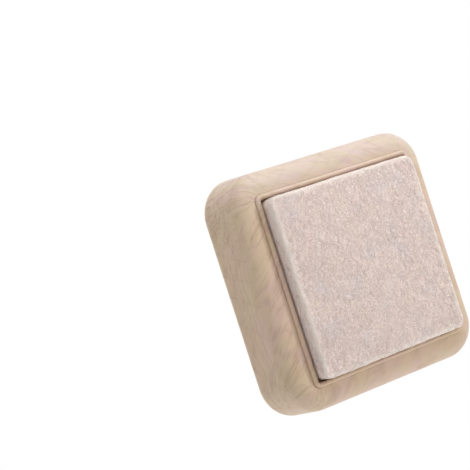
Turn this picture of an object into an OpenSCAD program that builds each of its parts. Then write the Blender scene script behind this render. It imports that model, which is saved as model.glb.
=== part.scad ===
// Square furniture-leg cup with a felt base.
// A moulded cup takes the leg, and a raised lip on its underside frames a square of thick felt,
// which a sheet of double-sided tape holds in its recess.
// Lengths are in millimetres. The origin is at the centre of the felt's underside, and +Z points up.

/* [Cup] */
// Outside width of the cup at its rim, from wall to wall
cup_w = 70; // [50:1:120]
// Height of the cup, from its underside to the top of its rim
cup_h = 17.7; // [14:0.1:40]
// Radius of the cup's upright corners at the rim, seen from above
corner_r = 10.6; // [8:0.1:20]
// Thickness of the wall at the rim
wall_t = 3.5; // [2.4:0.1:5]
// Thickness of the floor, between the leg's seat and the felt's recess
floor_t = 3.4; // [1.6:0.1:6]
// Lean of the outer wall, from the heel up to the rim
outer_draft = 0.25; // [0.05:0.05:1]
// Lean of the inner wall, from the floor up to the rim
inner_draft = 0.6; // [0.05:0.05:1.5]

/* [Edges] */
// Radius that rolls the outer wall under into the underside
heel_r = 5.6; // [2:0.1:8]
// Radius of the rim's outer edge
rim_outer_r = 1.3; // [0.4:0.1:2]
// Radius of the rim's inner edge
rim_inner_r = 1.6; // [0.4:0.1:2]
// Radius of the fillet between the floor and the inner wall
seat_fillet_r = 0.6; // [0.2:0.1:2]

/* [Felt recess] */
// Flat strip of underside between the heel and the lip round the felt
land_w = 1.05; // [0.05:0.05:5]
// Width of the raised lip that frames the felt
lip_w = 1.5; // [0.8:0.1:4]
// Height of the lip below the underside
lip_h = 1; // [0.3:0.1:2]
// Radius of the lip's outer and inner edges
lip_edge_r = 0.7; // [0.1:0.05:1]
// Radius of the lip's upright corners, on its outside
lip_corner_r = 2; // [0.8:0.1:6]
// Depth of the recess inside the lip, measured from the underside
recess_depth = 1.2; // [0.5:0.1:3]

/* [Felt pad] */
// Thickness of the felt
felt_t = 6; // [3:0.5:12]
// Gap between the felt and the lip
felt_gap = 0.35; // [0.2:0.05:4]
// Radius of the felt's upright corners
felt_corner_r = 3.5; // [0.5:0.1:8]
// Radius of the felt's soft lower edge
felt_edge_r = 0.7; // [0.2:0.1:2]

/* [Adhesive tape] */
// Thickness of the tape
tape_t = 0.2; // [0.1:0.05:1]
// How far the tape stops short of the felt's edge
tape_margin = 1.5; // [0.5:0.1:5]

/* [Hidden] */
$fn = 96;

// Smallest radius that is left where a round is limited by its neighbour
least_r = 0.2;
// Largest share of its thickness that either round of the rim or the lip may take
rim_share = 0.48;
// How far a cut runs past the face that it opens
overcut = 1;

// Rounds, limited by the walls that they blend
heel = min(heel_r, corner_r - outer_draft - least_r);
rim_outer = min(rim_outer_r, rim_share * wall_t);
rim_inner = min(rim_inner_r, rim_share * wall_t);
lip_edge = min(lip_edge_r, rim_share * lip_w, lip_h - least_r / 2);
felt_edge = min(felt_edge_r, felt_corner_r - least_r, felt_t / 2);

// The cavity that the leg stands in, measured at its mouth below the rim's round
cavity_w = cup_w - 2 * wall_t;
cavity_corner_r = max(corner_r - wall_t, inner_draft + 2 * least_r);
seat_fillet = min(seat_fillet_r, cavity_corner_r - inner_draft - least_r);

// The lip stands inside the heel and frames the recess, and the felt and its tape are sized to the recess
lip_outer_w = cup_w - 2 * (outer_draft + heel + land_w);
recess_w = lip_outer_w - 2 * lip_w;
lip_corner = max(lip_corner_r, lip_w + least_r);
recess_corner = lip_corner - lip_w;
felt_w = recess_w - 2 * felt_gap;
tape_w = felt_w - 2 * tape_margin;
tape_corner_r = max(felt_corner_r - tape_margin, least_r);

// Heights: felt on the ground, then the tape, then the cup with the tape on its recess's floor
tape_z = felt_t;
recess_floor_z = tape_z + tape_t;
cup_z = recess_floor_z - recess_depth;
seat_height = recess_depth + floor_t;

// A quarter of a disc in the first quadrant, turned about its centre
module quarter_disc(r, turn) {
  rotate(turn)
    intersection() {
      circle(r);
      square(r);
    }
}

// What is left of a square corner outside a quarter disc, turned about the disc's centre
module corner_outside(r, turn) {
  rotate(turn)
    difference() {
      square(r);
      circle(r);
    }
}

// A body on a square of width w with corners of radius r.
// The child is its upright half section, drawn from the middle outwards.
module carried_round(w, r) {
  run = w - 2 * r;
  for (turn = [0, 90])
    rotate([90, 0, turn])
      linear_extrude(run, center = true) {
        children();
        mirror([1, 0]) children();
      }
  for (turn = [0:90:270])
    rotate(turn)
      translate([run / 2, run / 2, 0])
        rotate_extrude(angle = 90)
          intersection() {
            translate([-run / 2, 0]) children();
            translate([0, -w]) square([w, 2 * w]);
          }
}

// Outside of the cup: rounded heel, leaning wall and the rim's outer round
module wall_outline() {
  rim_x = cup_w / 2;
  heel_x = rim_x - outer_draft;
  polygon([
    [0, 0],
    [heel_x - heel, 0],
    [heel_x - heel, heel],
    [heel_x, heel],
    [rim_x, cup_h - rim_outer],
    [rim_x - rim_outer, cup_h - rim_outer],
    [rim_x - rim_outer, cup_h],
    [0, cup_h]
  ]);
  translate([heel_x - heel, heel]) quarter_disc(heel, -90);
  translate([rim_x - rim_outer, cup_h - rim_outer]) quarter_disc(rim_outer, 0);
}

// Space that the leg stands in: flat seat, fillet, leaning wall and the flare over the rim's inner round
module cavity_outline() {
  mouth_x = cavity_w / 2;
  foot_x = mouth_x - inner_draft;
  polygon([
    [0, seat_height],
    [foot_x - seat_fillet, seat_height],
    [foot_x - seat_fillet, seat_height + seat_fillet],
    [foot_x, seat_height + seat_fillet],
    [mouth_x, cup_h - rim_inner],
    [mouth_x, cup_h],
    [mouth_x + rim_inner, cup_h],
    [mouth_x + rim_inner, cup_h + overcut],
    [0, cup_h + overcut]
  ]);
  translate([foot_x - seat_fillet, seat_height + seat_fillet]) quarter_disc(seat_fillet, -90);
  translate([mouth_x + rim_inner, cup_h - rim_inner]) corner_outside(rim_inner, 90);
}

// Lip round the felt, as a low block with a rounded lower edge that the recess is then cut from
module lip_outline() {
  side_x = lip_outer_w / 2;
  polygon([
    [0, -lip_h],
    [side_x - lip_edge, -lip_h],
    [side_x - lip_edge, lip_edge - lip_h],
    [side_x, lip_edge - lip_h],
    [side_x, recess_depth],
    [0, recess_depth]
  ]);
  translate([side_x - lip_edge, lip_edge - lip_h]) quarter_disc(lip_edge, -90);
}

// Shallow space inside the lip that takes the felt, flared over the lip's inner round
module recess_outline() {
  wall_x = recess_w / 2;
  polygon([
    [0, -lip_h - overcut],
    [wall_x + lip_edge, -lip_h - overcut],
    [wall_x + lip_edge, -lip_h],
    [wall_x, -lip_h],
    [wall_x, recess_depth],
    [0, recess_depth]
  ]);
  translate([wall_x + lip_edge, lip_edge - lip_h]) corner_outside(lip_edge, 180);
}

// Felt with a soft lower edge
module felt_outline() {
  side_x = felt_w / 2;
  polygon([
    [0, 0],
    [side_x - felt_edge, 0],
    [side_x - felt_edge, felt_edge],
    [side_x, felt_edge],
    [side_x, felt_t],
    [0, felt_t]
  ]);
  translate([side_x - felt_edge, felt_edge]) quarter_disc(felt_edge, -90);
}

// Moulded shell that the leg stands in
module cup() {
  color("burlywood")
    translate([0, 0, cup_z])
      difference() {
        union() {
          carried_round(cup_w, corner_r) wall_outline();
          carried_round(lip_outer_w, lip_corner) lip_outline();
        }
        carried_round(cavity_w + 2 * rim_inner, cavity_corner_r + rim_inner) cavity_outline();
        carried_round(recess_w + 2 * lip_edge, recess_corner + lip_edge) recess_outline();
      }
}

// Double-sided tape between the felt and the floor of the recess
module adhesive_sheet() {
  color("ivory")
    translate([0, 0, tape_z])
      carried_round(tape_w, tape_corner_r) square([tape_w / 2, tape_t]);
}

// Square of thick needle felt that meets the ground
module felt_pad() {
  color("mistyrose") carried_round(felt_w, felt_corner_r) felt_outline();
}

cup();
adhesive_sheet();
felt_pad();
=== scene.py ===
"""Looks of a square furniture-leg cup with a felt base.

The moulded cup is rebuilt as a fine skin with a pale wood-grain print, and the felt as a soft mat with loose
fibres. Lengths are in metres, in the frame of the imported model. MM turns millimetres into metres.
"""

import math

import bpy
from mathutils import Matrix, Vector, noise


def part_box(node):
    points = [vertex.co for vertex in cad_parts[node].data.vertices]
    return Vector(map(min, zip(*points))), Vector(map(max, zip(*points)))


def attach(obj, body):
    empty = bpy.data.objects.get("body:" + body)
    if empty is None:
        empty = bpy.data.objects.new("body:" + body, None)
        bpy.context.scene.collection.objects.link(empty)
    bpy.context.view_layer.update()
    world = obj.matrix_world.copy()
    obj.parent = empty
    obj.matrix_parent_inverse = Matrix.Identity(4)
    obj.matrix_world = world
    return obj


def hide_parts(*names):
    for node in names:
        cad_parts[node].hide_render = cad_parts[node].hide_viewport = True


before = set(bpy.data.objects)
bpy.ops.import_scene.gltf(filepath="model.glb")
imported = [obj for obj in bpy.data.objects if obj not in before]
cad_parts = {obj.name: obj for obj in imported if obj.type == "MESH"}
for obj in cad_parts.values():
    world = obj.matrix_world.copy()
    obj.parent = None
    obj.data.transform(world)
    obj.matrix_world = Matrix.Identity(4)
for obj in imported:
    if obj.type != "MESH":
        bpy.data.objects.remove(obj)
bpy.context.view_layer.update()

MM = 0.001
QUARTER = math.pi / 2

# Boxes of the solids that are rebuilt
CUP_LOW, CUP_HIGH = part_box("cup")
FELT_LOW, FELT_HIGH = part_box("felt_pad")

# The cup's section, where its box doesn't give it
CUP_HALF = CUP_HIGH.x
CORNER_R = 10.6 * MM
WALL = 3.5 * MM
FLOOR_T = 3.4 * MM
OUTER_DRAFT = 0.25 * MM
INNER_DRAFT = 0.6 * MM
HEEL_R = 5.6 * MM
RIM_OUTER_R = 1.3 * MM
RIM_INNER_R = 1.6 * MM
SEAT_FILLET_R = 0.6 * MM
LAND = 1.05 * MM
LIP_W = 1.5 * MM
LIP_H = 1.0 * MM
LIP_EDGE_R = 0.7 * MM
LIP_CORNER_R = 2.0 * MM
RECESS_DEPTH = 1.2 * MM
UNDERSIDE_Z = CUP_LOW.z + LIP_H
RECESS_Z = UNDERSIDE_Z + RECESS_DEPTH
SEAT_Z = RECESS_Z + FLOOR_T
LIP_HALF = CUP_HALF - OUTER_DRAFT - HEEL_R - LAND
RECESS_HALF = LIP_HALF - LIP_W

# The fine line that the halves of the mould leave round the outer wall, below the rim
PARTING_DROP = 1.75 * MM
PARTING_HALF_W = 0.16 * MM
PARTING_PROUD = 0.05 * MM

# Steps of the cup's mesh, and of the felt's soft edge
SIDE_STEPS = 26
CORNER_STEPS = 16
SEAT_STEPS = 24
WALL_STEPS = 8
ROUND_STEPS = 8
HEEL_STEPS = 16
RECESS_STEPS = 8

# How late the wall's corners turn into the lip's on the way round the heel
CORNER_BLEND_POWER = 3

# Creases sharper than this stay sharp
SHARP_ANGLE = math.radians(40)

# The felt's slab: its corners, one of which is cut rounder, its soft edge, the cells of its face, how far
# its face stands above the ground under its fibres, and the steps up its sides
FELT_HALF = FELT_HIGH.x
FELT_CORNER_R = 2.2 * MM
FELT_ROUND_CORNER_R = 3.2 * MM
FELT_EDGE_R = 0.7 * MM
FELT_CELL = 0.45 * MM
FELT_LIFT = 0.12 * MM
FELT_SIDE_STEPS = 12

# Unevenness of the felt: the size of the lumps and how far they stand out
FELT_HOLLOWS = (9.0 * MM, 0.08 * MM)
FELT_LUMPS = (2.2 * MM, 0.05 * MM)
FELT_NAP = (0.8 * MM, 0.03 * MM)
FELT_FRAY = (1.6 * MM, 0.14 * MM)

# Width of the strip of the felt's face that belongs to its cut edge, in millimetres
FELT_CUT_W = 2.2

# How far the felt's sides swell where they stand free below the lip
FELT_SWELL = 0.08 * MM

# Loose fibres on the felt. Their middles lie a little below the lip, or further down
FIBRE_COUNT = 9000
FIBRE_LENGTH = 2.2 * MM
FIBRE_SPREAD = (0.4, 1.4)
FIBRE_R = 0.038 * MM
FIBRE_STEPS = 3
FIBRE_SIDES = 3
FIBRE_CURL = 0.3 * MM
FIBRE_CURL_CELL = 1.2 * MM
FIBRE_LOFT = 0.03 * MM
FIBRE_LOOSE = 0.12 * MM
FIBRE_LOOSE_POWER = 4.0
FIBRE_STOP = 0.5 * MM
FIBRE_TOP = CUP_LOW.z - FIBRE_STOP
FIBRE_SEED = 7

# The print's rings, in millimetres on the unfolded skin: their heart lies beyond one corner of the pad
RING_HEART = (38.0, 42.0)
RING_START = 36.0
RING_SPACING = 15.0
RING_CROWDING = 50.0
RING_SHIFT = 0.4
RING_SWELL = 5.0
RING_RIPPLE = 0.5

# The dark band of a ring, in shares of the spacing: its least width and how far that spreads, the part of
# it that is lost where the skin is upright, its crisp edge, its feathered edge, how far pores fray that, and
# its faint tail
BAND_WIDTH = 0.17
BAND_SPREAD = 0.3
BAND_NARROWING = 0.5
BAND_CRISP = 0.03
BAND_FEATHER = (-0.1, 0.06)
BAND_FRAY = 0.3
BAND_TAIL = 0.35

# How often a band's width, a band's streaks and the fine lines change, across the rings and round them
WIDTH_CHANGES = (3.7, 3.0)
BAND_STREAK_CHANGES = (1.9, 14.0)
FINE_CHANGES = (5.5, 9.0)

# Ink of a band, of its streaks and pores, what an upright skin adds to it, and ink of its tail and of the
# fine lines
BAND_INK = 0.4
BAND_STREAK_INK = 0.6
BAND_PORE_INK = 0.35
BAND_UPRIGHT_INK = 0.4
BAND_TAIL_INK = 0.18
FINE_INK = 0.4

# How far the grain slews as it climbs the inner wall and the height over which it does, in millimetres, and
# its stretch outside the rim
GRAIN_SLEW = 9.0
GRAIN_SLEW_RISE = 7.0
GRAIN_STRETCH = 4.0

# Distances from the rim along the skin, in millimetres, counted down outside: where the painted shade of the
# inner wall ends, where the outside's print begins, where the wall turns into the heel, the lip's foot, half
# the width of the line of painted shade there, and where the recess is painted darker as shade
RIM_RANGE = (-4.5, -1.5)
OUTSIDE_RANGE = (0.5, 5.0)
HEEL_RANGE = (11.0, 19.0)
LIP_FOOT = 23.3
FOOT_SHADE_HALF_W = 0.35
RECESS_SHADE_RANGE = (24.4, 25.6)

# Heights above the seat, in millimetres, over which painted shade darkens the walls' cream and the rings
# narrow
WALL_SHADE_RISE = 1.5
NARROWING_RISE = 4.0

# Places on the pad, in millimetres, between which a side's own look sets in: the side painted paler as
# painted light, the lined side with its curly end, and the barred side with its plain ends
LIT_SIDE_Y = (-32.0, -18.0)
LIT_SIDE_X = (-38.0, -24.0)
LINED_SIDE_X = (-30.0, -18.0)
CURLY_END_Y = (-20.0, 4.0)
BARRED_SIDE_X = (14.0, 32.0)
BARRED_END_Y = (20.0, 29.0)

# The clouds outside are drawn out along the walls, and slant down them
CLOUD_STRETCH = 2.2
CLOUD_SLANT = 0.6

# Streaks and lines outside: their pitch, their length along the walls, and the height of the streaks' waves
STREAK_PITCH = 0.4
LINE_PITCH = 0.5
STREAK_LENGTH = 12.0
STREAK_WAVE = 9.0

# Values of noise over which each pattern of the print sets in or fades. Those of curls are distances from
# the middle of the noise
DRIFT_RANGE = (0.3, 0.7)
FINE_RANGE = (0.35, 0.75)
PORE_RANGE = (0.36, 0.64)
PINK_RANGE = (0.48, 0.64)
OLIVE_RANGE = (0.36, 0.5)
SMOKE_RANGE = (0.46, 0.72)
STREAK_RANGE = (0.4, 0.66)
LINE_RANGE = (0.42, 0.66)
LINE_SMOKE_RANGE = (0.38, 0.6)
CURL_RANGE = (0.0, 0.06)
CURL_SMOKE_RANGE = (0.4, 0.55)
FLECK_RANGE = (0.74, 0.79)

# How far each other pattern of the print shows, with the painted light of one side and the painted shade at
# the lip's foot, and how far the rings fade outside and come back as bars
PAINTED_LIGHT_SHARE = 0.65
SMOKE_INK = 0.55
STREAK_INK = 0.12
STREAK_WALL_INK = 0.55
LINE_INK = 0.8
CURL_WALL_INK = 0.4
CURL_END_INK = 0.2
FLECK_INK = 0.45
FOOT_SHADE_INK = 0.7
RING_FADE = 0.85
BAR_INK = 1.4

# The plastic's skin: its roughness, how far that spreads and rises with ink, and the heights of its fine and
# its broad unevenness
PLASTIC_ROUGHNESS = 0.36
PLASTIC_ROUGHNESS_SPREAD = 0.12
INK_ROUGHNESS = 0.05
PEEL_FINE = 0.4
PEEL_BROAD = 4.0

# Values of noise over which each pattern of the felt sets in or fades. Those of strands are distances from
# the middle of the noise
FELT_GREY_RANGE = (0.48, 0.66)
FELT_CREAM_RANGE = (0.32, 0.46)
FELT_OPEN_RANGE = (0.35, 0.65)
FELT_MAT_RANGE = (0.34, 0.68)
FELT_STRAND_RANGE = (0.0, 0.06)

# How strong the painted shade in the felt's open mat is at least, how much more in patches, and what part of
# that its sides lose
FELT_OPEN = 0.7
FELT_OPEN_MORE = 0.6
FELT_OPEN_LOSS = 0.6

# How far bright strands show in the mat and stand out of it, and how far fibres take on the painted sheen of
# the cut edge
FELT_STRAND_SHARE = 0.45
FELT_STRAND_HEIGHT = 0.5
FIBRE_SHEEN_SHARE = 0.8

# Heights above the ground, in millimetres, over which the painted sheen on the felt's cut edge fades
FELT_EDGE_RANGE = (0.8, 2.4)

# The tape: values of noise over which its pulp sets in, its roughness, and how far that rises in the pulp
PULP_RANGE = (0.3, 0.7)
TAPE_ROUGHNESS = 0.35
TAPE_ROUGHNESS_SPREAD = 0.2


def rgb(red, green, blue):
    """An opaque colour."""
    return (red, green, blue, 1.0)


# Colours
CREAM_LIGHT = rgb(0.79, 0.62, 0.47)
CREAM_DEEP = rgb(0.74, 0.565, 0.415)
# Painted shade of the inner walls
WALL_SHADE_TINT = rgb(0.85, 0.785, 0.745)
RING_TINT = rgb(0.83, 0.80, 0.785)
FINE_TINT = rgb(0.94, 0.92, 0.90)
SHELL = rgb(0.675, 0.51, 0.376)
# Painted light of one side
SHELL_LIT = rgb(0.69, 0.585, 0.505)
CLOUD_PINK_TINT = rgb(1.0, 0.98, 1.07)
CLOUD_OLIVE_TINT = rgb(0.978, 1.006, 0.947)
STREAK_TINT = rgb(0.82, 0.78, 0.75)
FLECK_TINT = rgb(0.72, 0.62, 0.52)
# Painted shade, at the lip's foot and in the recess
PAINTED_SHADE_TINT = rgb(0.66, 0.60, 0.55)
FELT_PINK = rgb(0.925, 0.78, 0.725)
FELT_CREAM = rgb(0.92, 0.78, 0.69)
FELT_GREY = rgb(0.885, 0.77, 0.76)
# Painted shade in the felt's hollows
FELT_HOLLOW_SHADE_TINT = rgb(0.72, 0.66, 0.62)
# Painted sheen of the felt's cut edge
FELT_EDGE_SHEEN = rgb(0.96, 0.865, 0.80)
STRAND_DARK = rgb(0.84, 0.71, 0.655)
STRAND_PALE = rgb(0.985, 0.89, 0.84)
STRAND_BRIGHT = rgb(0.98, 0.89, 0.845)
TAPE_MILK = rgb(0.80, 0.775, 0.70)
TAPE_PULP = rgb(0.70, 0.665, 0.58)
WHITE = rgb(1.0, 1.0, 1.0)


class Wire:
    """A socket of a node tree. Expressions on wires add the Math nodes that work them out."""

    def __init__(self, tree, socket=None):
        self.tree = tree
        self.socket = socket

    def node(self, kind, settings=None, inputs=None, output=0):
        """Adds a node, makes its settings, fills its sockets with values or wires, and gives one output."""
        made = self.tree.nodes.new(kind)
        for name, value in (settings or {}).items():
            setattr(made, name, value)
        for key, value in (inputs or {}).items():
            if isinstance(value, Wire):
                self.tree.links.new(value.socket, made.inputs[key])
            else:
                made.inputs[key].default_value = value
        return Wire(self.tree, made.outputs[output] if made.outputs else None)

    def other(self, output):
        """Another output of the node that this wire comes from."""
        return Wire(self.tree, self.socket.node.outputs[output])

    def maths(self, operation, first, second=0.0):
        return self.node("ShaderNodeMath", {"operation": operation}, {0: first, 1: second})

    def __add__(self, value):
        return self.maths("ADD", self, value)

    __radd__ = __add__

    def __sub__(self, value):
        return self.maths("SUBTRACT", self, value)

    def __rsub__(self, value):
        return self.maths("SUBTRACT", value, self)

    def __mul__(self, value):
        return self.maths("MULTIPLY", self, value)

    __rmul__ = __mul__

    def __truediv__(self, value):
        return self.maths("DIVIDE", self, value)

    def rise(self, low, high):
        """0 below low, 1 above high, and a smooth step between them."""
        return self.node(
            "ShaderNodeMapRange",
            {"interpolation_type": "SMOOTHSTEP"},
            {"Value": self, "From Min": low, "From Max": high},
        )

    def noise(self, cell=1.0, detail=2.0, roughness=0.5, distortion=0.0):
        """Noise from 0 to 1 at a vector, with lumps of about the size of a cell."""
        return self.node(
            "ShaderNodeTexNoise",
            inputs={
                "Vector": self,
                "Scale": 1 / cell,
                "Detail": detail,
                "Roughness": roughness,
                "Distortion": distortion,
            },
        )

    def tint(self, first, second, way="MIX"):
        """A colour taken from the first towards the second, as far as this wire says."""
        settings = {"data_type": "RGBA", "blend_type": way}
        return self.node("ShaderNodeMix", settings, {0: self, 6: first, 7: second}, 2)

    def shade(self, colour, shade):
        """A colour multiplied by a shade, as far as this wire says."""
        return self.tint(colour, shade, "MULTIPLY")

    def parts(self):
        """The three values of a vector."""
        split = self.node("ShaderNodeSeparateXYZ", inputs={0: self})
        return [split.other(output) for output in range(3)]

    def vector(self, x, y, z):
        return self.node("ShaderNodeCombineXYZ", inputs={0: x, 1: y, 2: z})

    def vector_maths(self, operation, first, second):
        return self.node("ShaderNodeVectorMath", {"operation": operation}, {0: first, 1: second})

    def bump(self, height, depth, strength):
        inputs = {"Height": height, "Distance": depth, "Strength": strength}
        return self.node("ShaderNodeBump", inputs=inputs)


def new_material(name):
    """A material with an empty node tree, and a wire to start from."""
    material = bpy.data.materials.new(name)
    material.use_nodes = True
    material.node_tree.nodes.clear()
    return material, Wire(material.node_tree)


def end_material(wire, inputs):
    """Ends a material in one Principled shader."""
    shader = wire.node("ShaderNodeBsdfPrincipled", inputs=inputs)
    wire.node("ShaderNodeOutputMaterial", inputs={"Surface": shader})


def place_in_mm(wire):
    """A point's place on the object, in millimetres."""
    place = wire.node("ShaderNodeTexCoord", output="Object")
    return wire.node("ShaderNodeMapping", inputs={"Vector": place, "Scale": (1 / MM, 1 / MM, 1 / MM)})


def add_object(name, mesh, material):
    """Puts a mesh in the scene with one material."""
    piece = bpy.data.objects.new(name, mesh)
    bpy.context.scene.collection.objects.link(piece)
    mesh.materials.clear()
    mesh.materials.append(material)
    return piece


def settled_mesh(piece, name):
    """A plain mesh of an object, with its modifiers worked in."""
    graph = bpy.context.evaluated_depsgraph_get()
    mesh = bpy.data.meshes.new_from_object(piece.evaluated_get(graph))
    mesh.name = name
    return mesh


# Cup


def square_ring(half, radius):
    """Points and outward directions round a square with rounded corners, anticlockwise from above."""
    middle = half - radius
    ring = []
    for quarter in range(4):
        turn = Matrix.Rotation(quarter * QUARTER, 2)
        for step in range(SIDE_STEPS):
            along = middle * (2 * step / SIDE_STEPS - 1)
            ring.append((turn @ Vector((half, along)), turn @ Vector((1, 0))))
        for step in range(CORNER_STEPS):
            angle = QUARTER * step / CORNER_STEPS
            outward = Vector((math.cos(angle), math.sin(angle)))
            point = Vector((middle, middle)) + radius * outward
            ring.append((turn @ point, turn @ outward))
    return ring


def arc(centre_x, centre_z, radius, start, end, steps):
    """Points of a section on part of a circle, with angles in quarter turns."""
    points = []
    for step in range(steps + 1):
        angle = QUARTER * (start + (end - start) * step / steps)
        points.append((centre_x + radius * math.cos(angle), centre_z + radius * math.sin(angle)))
    return points


def between(start, end, steps):
    """Points of a section between two others."""
    points = []
    for step in range(1, steps):
        share = step / steps
        points.append(tuple(a + (b - a) * share for a, b in zip(start, end)))
    return points


def wall_section():
    """The section from the edge of the seat, up the inner wall and over the rim, to the heel."""
    top = CUP_HIGH.z
    foot_x = CUP_HALF - WALL - INNER_DRAFT
    fillet = arc(foot_x - SEAT_FILLET_R, SEAT_Z + SEAT_FILLET_R, SEAT_FILLET_R, -1, 0, ROUND_STEPS)
    rim = arc(CUP_HALF - WALL + RIM_INNER_R, top - RIM_INNER_R, RIM_INNER_R, 2, 1, ROUND_STEPS)
    rim += arc(CUP_HALF - RIM_OUTER_R, top - RIM_OUTER_R, RIM_OUTER_R, 1, 0, ROUND_STEPS)
    parting_z = top - PARTING_DROP
    parting = [
        (CUP_HALF, parting_z + PARTING_HALF_W),
        (CUP_HALF + PARTING_PROUD, parting_z),
        (CUP_HALF, parting_z - PARTING_HALF_W),
    ]
    heel_top = (CUP_HALF - OUTER_DRAFT, UNDERSIDE_Z + HEEL_R)
    section = fillet + between(fillet[-1], rim[0], WALL_STEPS) + rim + parting
    return section + between(parting[-1], heel_top, WALL_STEPS)


def lip_section():
    """The section from the foot of the lip round the felt, over the lip, to the floor of the recess."""
    edge_z = CUP_LOW.z + LIP_EDGE_R
    outer = arc(LIP_HALF - LIP_EDGE_R, edge_z, LIP_EDGE_R, 0, -1, ROUND_STEPS)
    inner = arc(RECESS_HALF + LIP_EDGE_R, edge_z, LIP_EDGE_R, -1, -2, ROUND_STEPS)
    return [(LIP_HALF, UNDERSIDE_Z), *outer, *inner, (RECESS_HALF, RECESS_Z)]


def outer_corner(x):
    """Radius of the wall's upright corner at a distance from the middle."""
    return CORNER_R - (CUP_HALF - x)


def lip_corner(x):
    """Radius of the lip's upright corner at a distance from the middle."""
    return LIP_CORNER_R - (LIP_HALF - x)


def cup_rows():
    """Rings of the cup's skin, each with its half width, corner radius and height.

    They run from the middle of the seat, over the rim and round the lip, to the middle of the recess.
    """
    wall = wall_section()
    seat_half = wall[0][0]
    rows = []
    for step in range(1, SEAT_STEPS):
        share = step / SEAT_STEPS
        rows.append((seat_half * share, outer_corner(seat_half) * share, SEAT_Z))
    rows += [(x, outer_corner(x), z) for x, z in wall]
    heel_x = CUP_HALF - OUTER_DRAFT - HEEL_R
    heel = arc(heel_x, UNDERSIDE_Z + HEEL_R, HEEL_R, 0, -1, HEEL_STEPS)
    for step, (x, z) in enumerate(heel):
        share = (step / HEEL_STEPS) ** CORNER_BLEND_POWER
        rows.append((x, outer_corner(x) * (1 - share) + lip_corner(x) * share, z))
    rows += [(x, lip_corner(x), z) for x, z in lip_section()]
    for step in range(1, RECESS_STEPS):
        share = 1 - step / RECESS_STEPS
        rows.append((RECESS_HALF * share, lip_corner(RECESS_HALF) * share, RECESS_Z))
    return rows


def grain_place(point, outward, z, distance):
    """Place of a point on the print, in millimetres.

    The walls fold out, and the grain slews as it climbs them.
    """
    past_rim = max(distance, 0.0)
    climb = ((CUP_HIGH.z if past_rim else z) - SEAT_Z) / MM
    share = min(climb / GRAIN_SLEW_RISE, 1.0)
    slew = GRAIN_SLEW * share * share * (3 - 2 * share)
    along = Vector((-outward.y, outward.x))
    return point / MM + outward * (climb + past_rim / GRAIN_STRETCH) + along * slew


def distances_from_rim(rows):
    """Distance of each ring from the rim's crest in millimetres along the section, counted down outside."""
    steps = [0.0]
    for before, after in zip(rows, rows[1:]):
        steps.append(math.dist((before[0], before[2]), (after[0], after[2])) / MM)
    crest = max(range(len(rows)), key=lambda index: rows[index][2])
    travelled = [sum(steps[: index + 1]) for index in range(len(rows))]
    return [value - travelled[crest] for value in travelled]


def build_cup(material):
    """The cup as one closed skin, with each point's place on the print in an attribute."""
    rows = cup_rows()
    points = []
    grain = []
    for (half, radius, z), distance in zip(rows, distances_from_rim(rows)):
        for point, outward in square_ring(half, radius):
            points.append((point.x, point.y, z))
            place = grain_place(point, outward, z, distance)
            grain.append((place.x, place.y, distance))
    count = len(square_ring(CUP_HALF, CORNER_R))
    seat_pole = len(points)
    recess_pole = seat_pole + 1
    points += [(0.0, 0.0, SEAT_Z), (0.0, 0.0, RECESS_Z)]
    grain += [(0.0, 0.0, grain[0][2]), (0.0, 0.0, grain[-1][2])]
    last = (len(rows) - 1) * count
    faces = []
    for step in range(count):
        beside = (step + 1) % count
        faces.append((seat_pole, step, beside))
        faces.append((recess_pole, last + beside, last + step))
        for low in range(0, last, count):
            faces.append((low + step, low + count + step, low + count + beside, low + beside))
    mesh = bpy.data.meshes.new("cup_shell")
    mesh.from_pydata(points, [], faces)
    layer = mesh.attributes.new("grain", "FLOAT_VECTOR", "POINT")
    layer.data.foreach_set("vector", [value for place in grain for value in place])
    mesh.shade_smooth()
    mesh.set_sharp_from_angle(angle=SHARP_ANGLE)
    return add_object("cup_shell", mesh, material)


def ring_print(wire, across, along, upright):
    """How much ink the rings have at a place of the print, and the fine lines between them.

    A ring is crisp towards the heart, feathered away from it, and narrower where the skin is upright.
    """
    flat = wire.vector(across, along, 0.0)
    swell = flat.noise(cell=28.0, detail=1.0) - 0.5
    ripple = flat.noise(cell=6.0) - 0.5
    x = across - RING_HEART[0]
    y = along - RING_HEART[1]
    radius = wire.maths("SQRT", x * x + y * y) + swell * RING_SWELL + ripple * RING_RIPPLE
    turn = wire.maths("ARCTAN2", y, x)
    growth = wire.maths("EXPONENT", (radius - RING_START) / RING_CROWDING)
    phase = growth * (RING_CROWDING / RING_SPACING) - RING_SHIFT
    share = wire.maths("FRACT", phase)
    ring = wire.maths("FLOOR", phase)

    width = wire.vector(ring * WIDTH_CHANGES[0], turn * WIDTH_CHANGES[1], 0.0).noise(detail=1.0)
    width = (width * BAND_SPREAD + BAND_WIDTH) * (1.0 - BAND_NARROWING * upright)
    pores = flat.noise(cell=0.5, detail=1.0)
    frayed = width + (pores - 0.5) * BAND_FRAY * (1.0 - upright)
    edge = share.rise(0.0, BAND_CRISP)
    band = edge * (1.0 - share.rise(frayed + BAND_FEATHER[0], frayed + BAND_FEATHER[1]))
    tail = edge * (1.0 - share.rise(width, width + BAND_TAIL))

    streak = wire.vector(radius * BAND_STREAK_CHANGES[0], turn * BAND_STREAK_CHANGES[1], ring)
    streak = streak.noise(detail=3.0, roughness=0.6)
    depth = BAND_INK + BAND_STREAK_INK * streak + BAND_PORE_INK * pores.rise(*PORE_RANGE)
    ink = band * depth * (1.0 + BAND_UPRIGHT_INK * upright) + tail * BAND_TAIL_INK
    fine = wire.vector(radius * FINE_CHANGES[0], turn * FINE_CHANGES[1], 0.0).noise(roughness=0.6)
    return ink, fine.rise(*FINE_RANGE)


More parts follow.
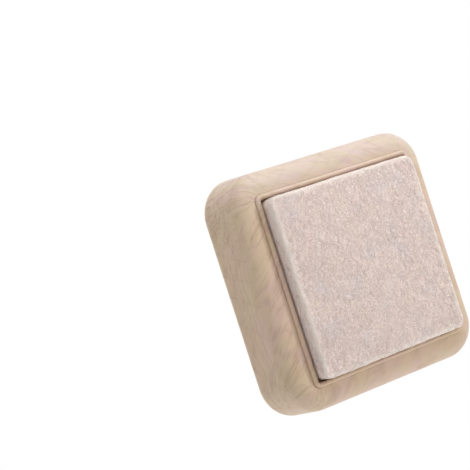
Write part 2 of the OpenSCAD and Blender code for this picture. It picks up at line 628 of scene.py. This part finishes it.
def inside_print(flat, down, height, fine):
    """Colour inside the cup: cream that drifts in tone, darkened on the walls by painted shade, with fine
    lines in it.
    """
    cream = flat.noise(cell=22.0).rise(*DRIFT_RANGE).tint(CREAM_LIGHT, CREAM_DEEP)
    # Painted shade: the cream is darker on the inner walls, below the rim
    wall_shade = height.rise(0.0, WALL_SHADE_RISE) * (1.0 - down.rise(*RIM_RANGE))
    cream = wall_shade.shade(cream, WALL_SHADE_TINT)
    return (fine * FINE_INK).shade(cream, FINE_TINT)


def outside_print(wire, grain, place, wall):
    """Colour outside the cup: pink and olive clouds, with smoke, streaks, lines and curls over them.

    One side is painted paler, as painted light. The next has slanting lines on its heel, and curls gather at
    one end of it.
    """
    across, along, down = grain.parts()
    x, y, _ = place.parts()
    pale = (1.0 - y.rise(*LIT_SIDE_Y)) * x.rise(*LIT_SIDE_X)
    lined = 1.0 - x.rise(*LINED_SIDE_X)
    curly = (1.0 - y.rise(*CURLY_END_Y)) * lined

    # Clouds, and smoke over them
    slanted = down + (along - across) * CLOUD_SLANT
    drawn = wire.vector(across / CLOUD_STRETCH, along / CLOUD_STRETCH, slanted)
    cloud = drawn.noise(cell=7.0, distortion=0.8)
    smoke = drawn.noise(cell=3.6, detail=3.0, distortion=1.2)
    # Painted light: one side is mixed towards a paler shell
    colour = (pale * PAINTED_LIGHT_SHARE).tint(SHELL, SHELL_LIT)
    colour = cloud.rise(*PINK_RANGE).shade(colour, CLOUD_PINK_TINT)
    colour = (1.0 - cloud.rise(*OLIVE_RANGE)).shade(colour, CLOUD_OLIVE_TINT)
    colour = (smoke.rise(*SMOKE_RANGE) * SMOKE_INK).shade(colour, STREAK_TINT)

    # Wavy streaks that fade towards the heel, and slanting lines on one side's heel
    level = down + place.noise(cell=16.0, detail=1.0) * STREAK_WAVE
    streak = wire.vector(level / STREAK_PITCH, across / STREAK_LENGTH, along / STREAK_LENGTH)
    streak = streak.noise(roughness=0.6).rise(*STREAK_RANGE)
    colour = (streak * (STREAK_INK + STREAK_WALL_INK * wall)).shade(colour, STREAK_TINT)
    line = wire.vector(slanted / LINE_PITCH, across / STREAK_LENGTH, along / STREAK_LENGTH)
    line = line.noise(roughness=0.6, distortion=0.3).rise(*LINE_RANGE) * smoke.rise(*LINE_SMOKE_RANGE)
    colour = (line * lined * (1.0 - wall) * LINE_INK).shade(colour, STREAK_TINT)

    # Curls, where a noise passes its middle
    curl = wire.maths("ABSOLUTE", place.noise(cell=2.4, distortion=1.4) - 0.5)
    curl = (1.0 - curl.rise(*CURL_RANGE)) * smoke.rise(*CURL_SMOKE_RANGE)
    curl = curl * (wall * CURL_WALL_INK * (1.0 + curly) + curly * CURL_END_INK)
    return curl.shade(colour, STREAK_TINT)


def print_material():
    """Satin moulded plastic with a pale wood-grain print, which is faint and cloudy on the outside."""
    material, wire = new_material("printed_plastic")
    grain = wire.node("ShaderNodeAttribute", {"attribute_name": "grain"}, output="Vector")
    across, along, down = grain.parts()
    place = place_in_mm(wire)
    x, y, z = place.parts()
    height = z - SEAT_Z / MM
    outside = down.rise(*OUTSIDE_RANGE)
    wall = 1.0 - down.rise(*HEEL_RANGE)
    upright = wire.maths("MAXIMUM", height.rise(0.0, NARROWING_RISE), outside)
    ink, fine = ring_print(wire, across, along, upright)
    cream = inside_print(wire.vector(across, along, 0.0), down, height, fine)
    colour = outside.tint(cream, outside_print(wire, grain, place, wall))

    # The rings fade outside, apart from one side, where they run down the wall as bars
    barred = x.rise(*BARRED_SIDE_X) * (1.0 - wire.maths("ABSOLUTE", y).rise(*BARRED_END_Y)) * wall
    colour = (ink * (1.0 + outside * (barred * BAR_INK - RING_FADE))).shade(colour, RING_TINT)

    # Flecks all over, a line of painted shade at the lip's foot, and painted shade darkening the recess
    fleck = place.noise(cell=1.1, detail=2.0).rise(*FLECK_RANGE)
    colour = (fleck * FLECK_INK).shade(colour, FLECK_TINT)
    foot_shade = 1.0 - wire.maths("ABSOLUTE", down - LIP_FOOT).rise(0.0, FOOT_SHADE_HALF_W)
    colour = (foot_shade * FOOT_SHADE_INK).shade(colour, PAINTED_SHADE_TINT)
    # Painted shade: the recess round the felt is darker
    colour = down.rise(*RECESS_SHADE_RANGE).shade(colour, PAINTED_SHADE_TINT)

    peel = place.noise(cell=0.7) * PEEL_FINE + place.noise(cell=7.0, detail=1.0) * PEEL_BROAD
    roughness = PLASTIC_ROUGHNESS + PLASTIC_ROUGHNESS_SPREAD * place.noise(cell=2.0) + INK_ROUGHNESS * ink
    end_material(
        wire,
        {
            "Base Color": colour,
            "Roughness": roughness,
            "Normal": wire.bump(peel, depth=0.03 * MM, strength=0.35),
            "Specular IOR Level": 0.35,
        },
    )
    return material


# Felt


def felt_marks():
    """Places across the felt's face: even cells inside, and closer together over its soft edge."""
    flat = FELT_HALF - FELT_EDGE_R
    cells = round(2 * flat / FELT_CELL)
    inside = [flat * (2 * cell / cells - 1) for cell in range(cells + 1)]
    edge = []
    for step in range(1, ROUND_STEPS + 1):
        edge.append(flat + FELT_EDGE_R * math.sin(QUARTER * step / ROUND_STEPS))
    return [-mark for mark in reversed(edge)] + inside + edge


def felt_point(x, y):
    """A point of the felt's plain face.

    A place on a square is drawn in to the round corners, and up over the soft edge.
    """
    straight = FELT_HALF - (FELT_ROUND_CORNER_R if x > 0 > y else FELT_CORNER_R)
    past = Vector((max(abs(x) - straight, 0.0), max(abs(y) - straight, 0.0)))
    if past.x > 0 and past.y > 0:
        past *= max(past) / past.length
    over = max(abs(x), abs(y)) - (FELT_HALF - FELT_EDGE_R)
    drop = FELT_EDGE_R - math.sqrt(max(FELT_EDGE_R**2 - max(over, 0.0) ** 2, 0.0))
    return (
        math.copysign(min(abs(x), straight) + past.x, x),
        math.copysign(min(abs(y), straight) + past.y, y),
        FELT_LOW.z + FELT_LIFT + drop,
    )


def edge_loop(count):
    """Numbers of the points round the edge of a square grid, anticlockwise from above."""
    last = count - 1
    loop = [(column, 0) for column in range(last)]
    loop += [(last, row) for row in range(last)]
    loop += [(last - column, last) for column in range(last)]
    loop += [(0, last - row) for row in range(last)]
    return [column * count + row for column, row in loop]


def felt_slab():
    """The felt's plain shape: a face with a soft edge, upright sides and a flat top."""
    marks = felt_marks()
    count = len(marks)
    points = [felt_point(x, y) for x in marks for y in marks]
    faces = []
    for column in range(count - 1):
        for row in range(count - 1):
            first = column * count + row
            faces.append((first, first + 1, first + count + 1, first + count))
    below = edge_loop(count)
    foot_z = points[below[0]][2]
    for step in range(1, FELT_SIDE_STEPS + 1):
        z = foot_z + (FELT_HIGH.z - foot_z) * step / FELT_SIDE_STEPS
        above = range(len(points), len(points) + len(below))
        points += [(*points[number][:2], z) for number in below]
        for place in range(len(below)):
            beside = (place + 1) % len(below)
            faces.append((below[place], below[beside], above[beside], above[place]))
        below = list(above)
    faces.append(tuple(below))
    mesh = bpy.data.meshes.new("felt_mat")
    mesh.from_pydata(points, [], faces)
    mesh.update()
    return mesh


def swell_at(place, lump):
    """Smooth noise at a place, for lumps of one size and height."""
    size, height = lump
    return noise.noise(place / size) * height


def felt_shift(place, normal):
    """How far the felt's skin stands out from its plain shape."""
    side = 1.0 - abs(normal.z)
    free = math.sin(math.pi * min(max(place.z / CUP_LOW.z, 0.0), 1.0))
    shift = sum(swell_at(place, lump) for lump in (FELT_HOLLOWS, FELT_LUMPS, FELT_NAP))
    return shift + side * (free * FELT_SWELL + swell_at(place, FELT_FRAY))


def build_felt(material):
    """The felt as a thick mat with an uneven, matted skin. Its glued top stays flat."""
    mesh = felt_slab()
    moved = []
    for vertex in mesh.vertices:
        place = vertex.co.copy()
        normal = vertex.normal.copy()
        if place.z < CUP_LOW.z:
            place += normal * felt_shift(place, normal)
            place.z = max(place.z, FELT_LOW.z)
        moved.extend(place)
    mesh.vertices.foreach_set("co", moved)
    mesh.update()
    mesh.shade_smooth()
    return add_object("felt_mat", mesh, material)


def random_value(wire, low, high, draw):
    """A random value for each element, with a seed of its own."""
    inputs = {2: low, 3: high, "Seed": FIBRE_SEED + draw}
    return wire.node("FunctionNodeRandomValue", {"data_type": "FLOAT"}, inputs, 1)


def fibre_tree(material):
    """Geometry nodes that lay curled fibres on the felt's face and sides."""
    tree = bpy.data.node_groups.new("loose_fibres", "GeometryNodeTree")
    wire = Wire(tree)
    tree.interface.new_socket("Felt", in_out="INPUT", socket_type="NodeSocketGeometry")
    for name in ("Density", "Length", "Radius", "Curl", "Curl Cell", "Loft", "Loose", "Top", "Ground"):
        tree.interface.new_socket(name, in_out="INPUT", socket_type="NodeSocketFloat")
    tree.interface.new_socket("Fibres", in_out="OUTPUT", socket_type="NodeSocketGeometry")
    given = wire.node("NodeGroupInput")

    # Points on the felt below the lip, each with a direction in the surface and a tone
    height = wire.node("GeometryNodeInputPosition").parts()[2]
    low = wire.node("FunctionNodeCompare", {"operation": "LESS_THAN"}, {0: height, 1: given.other("Top")})
    spots = wire.node(
        "GeometryNodeDistributePointsOnFaces",
        inputs={
            "Mesh": given.other("Felt"),
            "Selection": low,
            "Density": given.other("Density"),
            "Seed": FIBRE_SEED,
        },
    )
    heading = wire.vector(0.0, 0.0, random_value(wire, 0.0, 4 * QUARTER, 1))
    lie = wire.node(
        "FunctionNodeRotateRotation",
        {"rotation_space": "LOCAL"},
        {0: spots.other("Rotation"), 1: wire.node("FunctionNodeEulerToRotation", inputs={0: heading})},
    )
    toned = wire.node(
        "GeometryNodeStoreNamedAttribute",
        {"data_type": "FLOAT", "domain": "POINT"},
        {"Geometry": spots, "Name": "tone", "Value": random_value(wire, 0.0, 1.0, 2)},
    )

    # A strand of a random length at each point, with a curl that changes from place to place
    half = given.other("Length") / 2.0
    strand = wire.node(
        "GeometryNodeCurvePrimitiveLine",
        inputs={"Start": wire.vector(half * -1.0, 0.0, 0.0), "End": wire.vector(half, 0.0, 0.0)},
    )
    strand = wire.node("GeometryNodeResampleCurve", inputs={"Curve": strand, "Count": FIBRE_STEPS + 1})
    laid = wire.node(
        "GeometryNodeInstanceOnPoints",
        inputs={
            "Points": toned,
            "Instance": strand,
            "Rotation": lie,
            "Scale": random_value(wire, *FIBRE_SPREAD, 3),
        },
    )
    loose = wire.node("GeometryNodeRealizeInstances", inputs={0: laid})
    where = wire.vector_maths("DIVIDE", wire.node("GeometryNodeInputPosition"), given.other("Curl Cell"))
    wave = where.noise(detail=1.0).other("Color")
    bend = wire.vector_maths("SUBTRACT", wave, (0.5, 0.5, 0.5))
    bend = wire.vector_maths("MULTIPLY", bend, given.other("Curl") * 2.0)
    curled = wire.node("GeometryNodeSetPosition", inputs={"Geometry": loose, "Offset": bend})

    # The strand is laid on the felt's skin, with its ends a little loose, and kept above the ground
    nearest = wire.node("GeometryNodeProximity", {"target_element": "FACES"}, {0: given.other("Felt")})
    facing = wire.node(
        "GeometryNodeSampleNearestSurface",
        {"data_type": "FLOAT_VECTOR"},
        {"Mesh": given.other("Felt"), "Value": wire.node("GeometryNodeInputNormal")},
    )
    tone = wire.node("GeometryNodeInputNamedAttribute", {"data_type": "FLOAT"}, {"Name": "tone"})
    towards_end = wire.node("GeometryNodeSplineParameter") * 2.0 - 1.0
    looseness = wire.maths("POWER", towards_end, FIBRE_LOOSE_POWER)
    lift = given.other("Loft") * tone + given.other("Loose") * looseness
    rise = wire.node("ShaderNodeVectorMath", {"operation": "SCALE"}, {0: facing, "Scale": lift})
    laid_place = wire.vector_maths("ADD", nearest, rise)
    x, y, z = laid_place.parts()
    ground = given.other("Ground") + given.other("Radius")
    pressed = wire.node(
        "GeometryNodeSetPosition",
        inputs={"Geometry": curled, "Position": wire.vector(x, y, wire.maths("MAXIMUM", z, ground))},
    )
    section = wire.node(
        "GeometryNodeCurvePrimitiveCircle",
        inputs={"Resolution": FIBRE_SIDES, "Radius": given.other("Radius")},
    )
    fibres = wire.node(
        "GeometryNodeCurveToMesh",
        inputs={"Curve": pressed, "Profile Curve": section, "Fill Caps": True},
    )
    fibres = wire.node("GeometryNodeRealizeInstances", inputs={0: fibres})
    fibres = wire.node("GeometryNodeSetMaterial", inputs={"Geometry": fibres, "Material": material})
    wire.node("NodeGroupOutput", inputs={"Fibres": fibres})
    return tree


def build_fibres(felt, material):
    """The loose fibres as one mesh."""
    carrier = add_object("fibre_carrier", felt.data.copy(), material)
    tree = fibre_tree(material)
    modifier = carrier.modifiers.new("fibres", "NODES")
    modifier.node_group = tree
    face_area = 4 * FELT_HALF * FELT_HALF
    side_area = 8 * FELT_HALF * FIBRE_TOP
    sizes = {
        "Density": FIBRE_COUNT / (face_area + side_area),
        "Length": FIBRE_LENGTH,
        "Radius": FIBRE_R,
        "Curl": FIBRE_CURL,
        "Curl Cell": FIBRE_CURL_CELL,
        "Loft": FIBRE_LOFT,
        "Loose": FIBRE_LOOSE,
        "Top": FIBRE_TOP,
        "Ground": FELT_LOW.z,
    }
    for socket in tree.interface.items_tree:
        if socket.name in sizes:
            modifier[socket.identifier] = sizes[socket.name]
    mesh = settled_mesh(carrier, "felt_fibres")
    bpy.data.objects.remove(carrier)
    mesh.shade_smooth()
    return add_object("felt_fibres", mesh, material)


def cut_edge(wire, place):
    """How far a place lies on the felt's cut side, and how far on the edge at the side's foot, which gets
    painted sheen.
    """
    x, y, height = place.parts()
    reach = wire.maths("MAXIMUM", wire.maths("ABSOLUTE", x), wire.maths("ABSOLUTE", y))
    side = reach.rise(FELT_HALF / MM - FELT_CUT_W, FELT_HALF / MM)
    return side, side * (1.0 - height.rise(*FELT_EDGE_RANGE))


def felt_material():
    """Needle felt: a mat of fine strands, pinkish with cream and grey clouds, with painted shade where it is
    open and painted sheen along its cut edge.
    """
    material, wire = new_material("needle_felt")
    place = place_in_mm(wire)
    cloud = place.noise(cell=8.0)
    colour = cloud.rise(*FELT_GREY_RANGE).tint(FELT_PINK, FELT_GREY)
    colour = (1.0 - cloud.rise(*FELT_CREAM_RANGE)).tint(colour, FELT_CREAM)
    side, edge = cut_edge(wire, place)
    # Painted sheen: paler along the cut edge at the foot of the sides
    colour = edge.tint(colour, FELT_EDGE_SHEEN)

    # Painted shade in the mat's hollows, stronger in patches and weaker on the cut sides, with bright
    # strands over them
    patches = place.noise(cell=4.0).rise(*FELT_OPEN_RANGE)
    hollow_shade = (FELT_OPEN + FELT_OPEN_MORE * patches) * (1.0 - FELT_OPEN_LOSS * side)
    mat = place.noise(cell=0.36, detail=0.0, distortion=0.4)
    colour = (mat.rise(*FELT_MAT_RANGE) * hollow_shade).shade(colour, FELT_HOLLOW_SHADE_TINT)
    curl = wire.maths("ABSOLUTE", place.noise(cell=0.55, detail=1.0, distortion=1.2) - 0.5)
    strand = 1.0 - curl.rise(*FELT_STRAND_RANGE)
    colour = (strand * FELT_STRAND_SHARE).tint(colour, STRAND_BRIGHT)
    relief = strand * FELT_STRAND_HEIGHT - mat
    end_material(
        wire,
        {
            "Base Color": colour,
            "Roughness": 0.95,
            "Normal": wire.bump(relief, depth=0.09 * MM, strength=0.6),
            "Specular IOR Level": 0.15,
            "Subsurface Weight": 0.35,
            "Subsurface Radius": (1.0, 0.85, 0.8),
            "Subsurface Scale": 0.6 * MM,
            "Sheen Weight": 0.25,
            "Sheen Roughness": 0.45,
        },
    )
    return material


def fibre_material():
    """Single strands of the felt, each with a tone of its own, and with painted sheen along the felt's cut
    edge.
    """
    material, wire = new_material("felt_strand")
    tone = wire.node("ShaderNodeAttribute", {"attribute_name": "tone"}, output="Fac")
    _, edge = cut_edge(wire, place_in_mm(wire))
    colour = tone.rise(0.0, 1.0).tint(STRAND_DARK, STRAND_PALE)
    end_material(
        wire,
        {
            "Base Color": (edge * FIBRE_SHEEN_SHARE).tint(colour, FELT_EDGE_SHEEN),
            "Roughness": 0.85,
            "Specular IOR Level": 0.2,
            "Sheen Weight": 0.2,
        },
    )
    return material


# Tape


def tape_material():
    """Tissue tape: a milky film with paper pulp in it."""
    material, wire = new_material("tissue_tape")
    pulp = place_in_mm(wire).noise(cell=1.1, detail=4.0, roughness=0.65, distortion=1.5)
    end_material(
        wire,
        {
            "Base Color": pulp.rise(*PULP_RANGE).tint(TAPE_MILK, TAPE_PULP),
            "Roughness": TAPE_ROUGHNESS + TAPE_ROUGHNESS_SPREAD * pulp,
            "Normal": wire.bump(pulp, depth=0.02 * MM, strength=0.3),
        },
    )
    return material


# Floor, light and camera

FLOOR_HALF = 6.0
FLOOR_DROP = 0.02 * MM
FLOOR_COLOUR = rgb(0.86, 0.86, 0.86)
FLOOR_FADE = (0.25, 1.2)

# Levels of light, where a facing surface at level 1 shows its colour as written. The power narrows the glow
# at the back
HORIZON_LIGHT = 0.61
ZENITH_LIGHT = 0.42
BACK_LIGHT = 0.28
BACK_GLOW = 0.9
BACK_GLOW_POWER = 4.0
LAMP_ABOVE = {"direction": Vector((0.1, -0.25, 0.96)), "level": 0.54, "distance": 0.6, "size": 0.42}
LAMP_FRONT = {"direction": Vector((0.02, -0.9, -0.44)), "level": 0.73, "distance": 0.34, "size": 0.3}
LAMP_BELOW = {"direction": Vector((0.5, -0.1, -0.86)), "level": 0.36, "distance": 0.5, "size": 0.08}

# The camera looks up at the pad's underside, as the leaning pad is seen
CAMERA_PLACE = Vector((-292.8, -23.5, -384.8)) * MM
CAMERA_AIM = Vector((-42.47, -19.73, -2.2)) * MM
CAMERA_UP = Vector((0.2615, -0.9516, -0.1618))
CAMERA_LENS = 130.35
CAMERA_NEAR = 10 * MM


def floor_material():
    """A pale floor that takes the object's shadow and fades to white further out.

    Only a camera above it sees it, so light from below reaches the pad's underside.
    """
    material, wire = new_material("pale_floor")
    place = wire.node("ShaderNodeTexCoord", output="Object")
    away = wire.node("ShaderNodeVectorMath", {"operation": "LENGTH"}, {0: place}, "Value")
    matt = wire.node("ShaderNodeBsdfDiffuse", inputs={"Color": FLOOR_COLOUR})
    white = wire.node("ShaderNodeEmission", inputs={"Color": WHITE})
    faded = wire.node("ShaderNodeMixShader", inputs={0: away.rise(*FLOOR_FADE), 1: matt, 2: white})
    seen = wire.node("ShaderNodeLightPath", output="Is Camera Ray")
    back = wire.node("ShaderNodeNewGeometry", output="Backfacing")
    clear = wire.node("ShaderNodeBsdfTransparent")
    shown = wire.node("ShaderNodeMixShader", inputs={0: seen * (1.0 - back), 1: clear, 2: faded})
    wire.node("ShaderNodeOutputMaterial", inputs={"Surface": shown})
    return material


def add_floor():
    """A wide floor under the felt."""
    z = FELT_LOW.z - FLOOR_DROP
    corners = [(-1, -1), (1, -1), (1, 1), (-1, 1)]
    mesh = bpy.data.meshes.new("floor")
    mesh.from_pydata([(x * FLOOR_HALF, y * FLOOR_HALF, z) for x, y in corners], [], [(0, 1, 2, 3)])
    add_object("floor", mesh, floor_material())


def light_world():
    """Soft white light from all sides and above, most from the back, before a white background."""
    world = bpy.data.worlds.new("studio")
    world.use_nodes = True
    world.node_tree.nodes.clear()
    wire = Wire(world.node_tree)
    path = wire.node("ShaderNodeLightPath", output="Is Camera Ray")
    seen = wire.maths("MAXIMUM", path, path.other("Is Glossy Ray"))
    seen = wire.maths("MAXIMUM", seen, path.other("Is Transmission Ray"))
    _, y, z = wire.node("ShaderNodeTexCoord", output="Generated").parts()
    up = wire.maths("MAXIMUM", z, 0.0)
    back = wire.maths("MAXIMUM", y, 0.0)
    light = HORIZON_LIGHT * (1.0 - z * z) + ZENITH_LIGHT * (up * up)
    light = light + BACK_LIGHT * back + BACK_GLOW * wire.maths("POWER", back, BACK_GLOW_POWER)
    strength = light + (1.0 - light) * seen
    shader = wire.node("ShaderNodeBackground", inputs={"Color": WHITE, "Strength": strength})
    wire.node("ShaderNodeOutputWorld", inputs={"Surface": shader})
    bpy.context.scene.world = world


def add_lamp(name, direction, level, distance, size):
    """A soft square lamp that lights a surface facing it to a level, and is neither seen nor mirrored."""
    data = bpy.data.lights.new(name, "AREA")
    data.shape = "SQUARE"
    data.size = size
    data.energy = level * (math.pi * distance) ** 2
    lamp = bpy.data.objects.new(name, data)
    bpy.context.scene.collection.objects.link(lamp)
    away = direction.normalized()
    lamp.location = away * distance
    lamp.rotation_mode = "QUATERNION"
    lamp.rotation_quaternion = away.to_track_quat("Z", "Y")
    lamp.visible_camera = False
    lamp.visible_glossy = False


def add_camera():
    """The scene's camera."""
    data = bpy.data.cameras.new("camera")
    data.lens = CAMERA_LENS
    data.clip_start = CAMERA_NEAR
    camera = bpy.data.objects.new("camera", data)
    bpy.context.scene.collection.objects.link(camera)
    back = (CAMERA_PLACE - CAMERA_AIM).normalized()
    right = CAMERA_UP.cross(back).normalized()
    turn = Matrix((right, back.cross(right), back)).transposed().to_4x4()
    camera.matrix_world = Matrix.Translation(CAMERA_PLACE) @ turn
    bpy.context.scene.camera = camera


cup = build_cup(print_material())
felt = build_felt(felt_material())
fibres = build_fibres(felt, fibre_material())
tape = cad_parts["adhesive_sheet"]
tape.data.materials.clear()
tape.data.materials.append(tape_material())

for piece in (cup, felt, fibres):
    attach(piece, "root")
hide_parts("cup")
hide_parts("felt_pad")

add_floor()
light_world()
add_lamp("lamp_above", **LAMP_ABOVE)
add_lamp("lamp_front", **LAMP_FRONT)
add_lamp("lamp_below", **LAMP_BELOW)
add_camera()
bpy.context.scene.view_settings.view_transform = "Standard"
